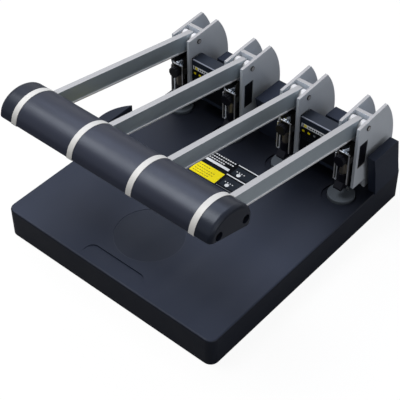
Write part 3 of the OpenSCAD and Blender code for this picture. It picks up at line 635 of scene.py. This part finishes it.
def add_dashes(bm, rows, depth, base):
    """Rows of short plain bars on the deck panel."""
    for left, right, front in rows:
        for k in range(int((right - left) / (DASH + DASH_GAP))):
            x0 = (left + k * (DASH + DASH_GAP)) * MM
            low = Vector((x0, front * MM, base))
            high = Vector((x0 + DASH * MM, (front + depth) * MM, base + 2 * PANEL_LAYER))
            add_plate(bm, low, high, DASH_ROUND)


def add_holes(bm, level):
    """The sheets' rows of round holes and their spots."""
    for x, y in SHEET_HOLES:
        for k in range(4):
            place = Vector(((x + HOLE_PITCH * (k - 1.5)) * MM, y * MM, level))
            add_disc(bm, place, HOLE_R * MM, PANEL_LAYER)
        spot = Vector((x * MM, (y - SPOT_AHEAD) * MM, level))
        add_disc(bm, spot, SPOT_R * MM, PANEL_LAYER)


def deck_panel_blocks():
    """The blocks, dashes and dots that stand on the panel where the photograph has print."""
    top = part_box("deck_panel")[1].z
    for name, mat, x0, x1, y0, y1 in PANEL_BLOCKS:
        low = Vector((x0 * MM, y0 * MM, top - PANEL_LAYER))
        high = Vector((x1 * MM, y1 * MM, top + PANEL_LAYER))
        piece(f"panel_{name}", lambda bm: add_plate(bm, low, high, BLOCK_ROUND),
              mat, "base")
    piece("panel_dashes",
          lambda bm: add_dashes(bm, PANEL_ROWS, PANEL_DASH_DEPTH, top - PANEL_LAYER),
          label_white, "base")
    piece("field_dashes", lambda bm: add_dashes(bm, FIELD_ROWS, FIELD_DASH_DEPTH, top),
          label_olive, "base")
    piece("panel_dots", lambda bm: add_holes(bm, top + PANEL_LAYER),
          label_white, "base")


deck_panel_blocks()


# Sheets and marks on a chip box's front, as [name, material, left, right, bottom, top] in
# millimetres, from its left edge and down from its top
CHIP_SHEETS = [
    ("strip", label_silver, 1.2, 48.6, 13.4, 8.6),
    ("panel", panel_black, 1.2, 48.6, 48.0, 14.0),
]
CHIP_MARKS = [
    ("strip_black", panel_black, 2.6, 4.0, 12.8, 9.2),
    ("strip_yellow", label_yellow, 4.8, 8.4, 12.8, 9.2),
    ("mark_first", label_yellow, 2.6, 5.8, 20.2, 17.6),
    ("mark_second", label_yellow, 10.2, 13.6, 20.2, 17.6),
    ("mark_third", label_grey, 18.2, 20.8, 20.2, 17.6),
]
# Rows of plain dashes on it, as [left, count, pitch, length, bottom, top]
CHIP_ROWS = [(10.5, 12, 3, 2, 12.2, 10)]
CHIP_ROWS += [(3, 8, 3.2, 2.4, down + 0.8, down) for down in (23.6, 26.4, 29.2)]
# How far a sheet and a mark stand out from the box, and how deep they sit in it
SHEET_PROUD = 0.12 * MM
MARK_PROUD = 0.2 * MM
CHIP_SUNK = 0.1 * MM


def chip_box_labels(side):
    """A silver strip over a black panel on the chip box's front, with plain marks on them."""
    low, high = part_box(f"chip_box_{side}")
    body = f"chip_box_{side}"

    def add_block(bm, left, right, bottom, top, proud, sunk):
        add_plate(bm, Vector((low.x + left * MM, low.y - proud, high.z - bottom * MM)),
                  Vector((low.x + right * MM, low.y + sunk, high.z - top * MM)), BLOCK_ROUND)

    def dashes(bm):
        for left, count, pitch, length, bottom, top in CHIP_ROWS:
            for k in range(count):
                start = left + pitch * k
                add_block(bm, start, start + length, bottom, top, MARK_PROUD, 0)

    for blocks, proud in ((CHIP_SHEETS, SHEET_PROUD), (CHIP_MARKS, MARK_PROUD)):
        for name, mat, *place in blocks:
            piece(f"chip_{name}_{side}", lambda bm: add_block(bm, *place, proud, CHIP_SUNK),
                  mat, body)
    piece(f"chip_dashes_{side}", dashes, label_slate, body)


for side in SIDES:
    chip_box_labels(side)


# The plain pale floor, the lamps and the camera

# The floor's own light as the camera and a reflection see it, and its paint for bounced light
# and for the camera
FLOOR_SEEN = 0.93
FLOOR_MIRRORED = 0.05
FLOOR_BOUNCE = (0.2, 0.2, 0.2, 1)
FLOOR_PAINT = (0.92, 0.92, 0.92, 1)
FLOOR_HALF = 6.0
FLOOR_DROP = 0.2 * MM

# The world's colour as light, and as the camera and a reflection see it
WORLD_LIGHT = (0.17, 0.172, 0.18, 1)
WORLD_SEEN = (1, 1, 1, 1)

# Soft lamps, as [name, azimuth, elevation, distance, size, watts, tint]
LAMPS = [
    ("key", -66, 66, 1.7, (0.9, 0.9), 28, (1, 1, 1)),
    ("back", -140, 56, 1.8, (1.1, 0.8), 10, (0.86, 0.93, 1.12)),
    ("fill", 66, 38, 2.0, (1.3, 1.3), 7, (1, 1, 1)),
    ("side", 88, 6, 1.6, (0.7, 0.5), 3.5, (1, 1, 1)),
]


def pale_floor():
    """A floor that looks nearly white, keeps the shadow and throws back little light."""
    f = Finish("pale_floor")
    diffuse = f.node("ShaderNodeBsdfDiffuse")
    glow = f.node("ShaderNodeEmission")
    seen = f.node("ShaderNodeLightPath").outputs
    f.link(f.mix(seen["Is Camera Ray"], FLOOR_BOUNCE, FLOOR_PAINT), diffuse.inputs["Color"])
    mirrored = f.maths("MULTIPLY", seen["Is Glossy Ray"], FLOOR_MIRRORED)
    amount = f.maths("MULTIPLY_ADD", seen["Is Camera Ray"], FLOOR_SEEN, mirrored)
    blend = f.node("ShaderNodeMixShader")
    f.link(amount, blend.inputs["Fac"])
    f.link(diffuse.outputs["BSDF"], blend.inputs[1])
    f.link(glow.outputs["Emission"], blend.inputs[2])
    f.link(blend.outputs["Shader"], f.tree.nodes["Material Output"].inputs["Surface"])
    f.tree.nodes.remove(f.shader)

    def square(bm):
        bmesh.ops.create_grid(bm, x_segments=1, y_segments=1, size=FLOOR_HALF)
    floor = piece("floor", square, f.mat, None)
    floor.location.z = -FLOOR_DROP


def stand(name, data, azimuth, elevation, distance):
    """Places a camera or lamp at those angles from the punch, facing it."""
    obj = bpy.data.objects.new(name, data)
    bpy.context.scene.collection.objects.link(obj)
    towards = direction(azimuth, elevation)
    obj.location = CAM_TARGET + towards * distance
    obj.rotation_mode = "QUATERNION"
    obj.rotation_quaternion = (-towards).to_track_quat("-Z", "Y")
    return obj


def lamp(name, azimuth, elevation, distance, size, watts, tint):
    """A soft rectangular lamp that faces the punch."""
    data = bpy.data.lights.new(name, "AREA")
    data.shape = "RECTANGLE"
    data.size, data.size_y = size
    data.energy = watts
    data.color = tint
    stand(name, data, azimuth, elevation, distance)


def studio():
    """A world that looks white but lights softly, and the lamps."""
    world = bpy.data.worlds.new("studio")
    bpy.context.scene.world = world
    world.use_nodes = True
    tree = world.node_tree
    seen = tree.nodes.new("ShaderNodeLightPath").outputs
    share = tree.nodes.new("ShaderNodeMath")
    share.operation = "MAXIMUM"
    mix = tree.nodes.new("ShaderNodeMix")
    mix.data_type = "RGBA"
    mix.inputs[MIX_FIRST].default_value = WORLD_LIGHT
    mix.inputs[MIX_SECOND].default_value = WORLD_SEEN
    tree.links.new(seen["Is Camera Ray"], share.inputs[0])
    tree.links.new(seen["Is Glossy Ray"], share.inputs[1])
    tree.links.new(share.outputs[0], mix.inputs["Factor"])
    tree.links.new(mix.outputs[MIX_RESULT], tree.nodes["Background"].inputs["Color"])
    for settings in LAMPS:
        lamp(*settings)


def camera():
    """The camera that took the photograph, as its fitted angles and lens give it."""
    data = bpy.data.cameras.new("camera")
    data.lens = CAM_LENS
    data.sensor_width = CAM_SENSOR
    data.clip_start, data.clip_end = CAM_CLIP
    obj = stand("camera", data, CAM_AZIMUTH, CAM_ELEVATION, CAM_DISTANCE)
    obj.rotation_quaternion @= Quaternion((0, 0, 1), math.radians(CAM_ROLL))
    bpy.context.scene.camera = obj


pale_floor()
studio()
camera()
bpy.context.scene.view_settings.view_transform = "Standard"
